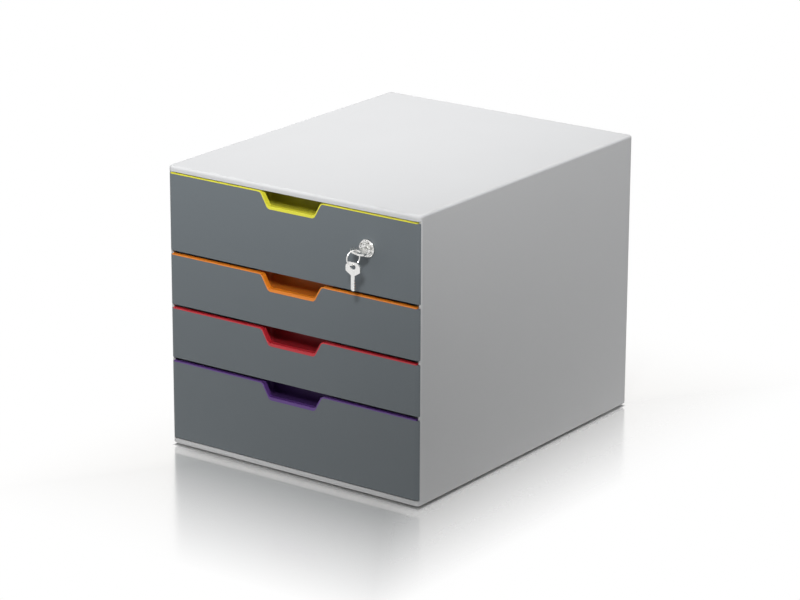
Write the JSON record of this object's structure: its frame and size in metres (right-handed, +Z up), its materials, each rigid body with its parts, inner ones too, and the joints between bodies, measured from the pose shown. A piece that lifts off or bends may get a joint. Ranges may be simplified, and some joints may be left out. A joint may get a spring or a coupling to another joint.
{
  "type": "desktop file drawer",
  "caption": "Light grey desktop case with dark-fronted pull-out drawers, coloured grip strips with finger notches, and a cam lock with its keys.",
  "frame": {"origin": "on the floor, at the middle of the outline in plan, with the keys counted", "axes": "+X to the right as seen from the front, +Y to the back, +Z up; the drawers pull out along -Y"},
  "size_m": [0.292, 0.3842, 0.28],
  "materials": {
    "case_grey": "fine moulded texture, satin",
    "tray_grey": "smooth moulded, satin",
    "front_graphite": "fine moulded texture, matt",
    "grip_yellow": "smooth moulded, satin",
    "grip_orange": "smooth moulded, satin",
    "grip_red": "smooth moulded, satin",
    "grip_purple": "smooth moulded, satin",
    "foot_rubber": "matt",
    "lock_nickel": "polished nickel plate",
    "cam_steel": "zinc plated",
    "key_nickel": "nickel plated, satin"
  },
  "bodies": {
    "housing": {"housing_shell": "case_grey", "back_cover": "case_grey", "feet": "foot_rubber"},
    "drawer_1": {"drawer_1_tray": "tray_grey", "drawer_1_front": "front_graphite", "drawer_1_grip": "grip_yellow", "lock_barrel": "lock_nickel", "lock_nut": "cam_steel"},
    "drawer_2": {"drawer_2_tray": "tray_grey", "drawer_2_front": "front_graphite", "drawer_2_grip": "grip_orange"},
    "drawer_3": {"drawer_3_tray": "tray_grey", "drawer_3_front": "front_graphite", "drawer_3_grip": "grip_red"},
    "drawer_4": {"drawer_4_tray": "tray_grey", "drawer_4_front": "front_graphite", "drawer_4_grip": "grip_purple"},
    "lock_core": {"lock_plug": "lock_nickel", "lock_cam": "cam_steel", "lock_cam_screw": "cam_steel", "lock_key": "key_nickel"},
    "key_ring": {"key_ring": "key_nickel"},
    "spare_key": {"spare_key": "key_nickel"}
  },
  "joints": [
    {"name": "drawer_1_slide", "type": "slide", "parent": "housing", "child": "drawer_1", "axis": [0, -1, 0], "range_m": [0, 0.25]},
    {"name": "drawer_2_slide", "type": "slide", "parent": "housing", "child": "drawer_2", "axis": [0, -1, 0], "range_m": [0, 0.25]},
    {"name": "drawer_3_slide", "type": "slide", "parent": "housing", "child": "drawer_3", "axis": [0, -1, 0], "range_m": [0, 0.25]},
    {"name": "drawer_4_slide", "type": "slide", "parent": "housing", "child": "drawer_4", "axis": [0, -1, 0], "range_m": [0, 0.25]},
    {"name": "lock_turn", "type": "hinge", "parent": "drawer_1", "child": "lock_core", "pos_m": [0.088, -0.16394, 0.24052], "axis": [0, 1, 0], "range_deg": [0, 90]},
    {"name": "key_ring_swing", "type": "hinge", "parent": "lock_core", "child": "key_ring", "pos_m": [0.08737, -0.18498, 0.24142], "axis": [0.342, 0.9397, 0], "range_deg": [-20, 20]},
    {"name": "spare_key_swing", "type": "hinge", "parent": "key_ring", "child": "spare_key", "pos_m": [0.08737, -0.18498, 0.22912], "axis": [0.342, 0.9397, 0], "range_deg": [-45, 45]}
  ]
}
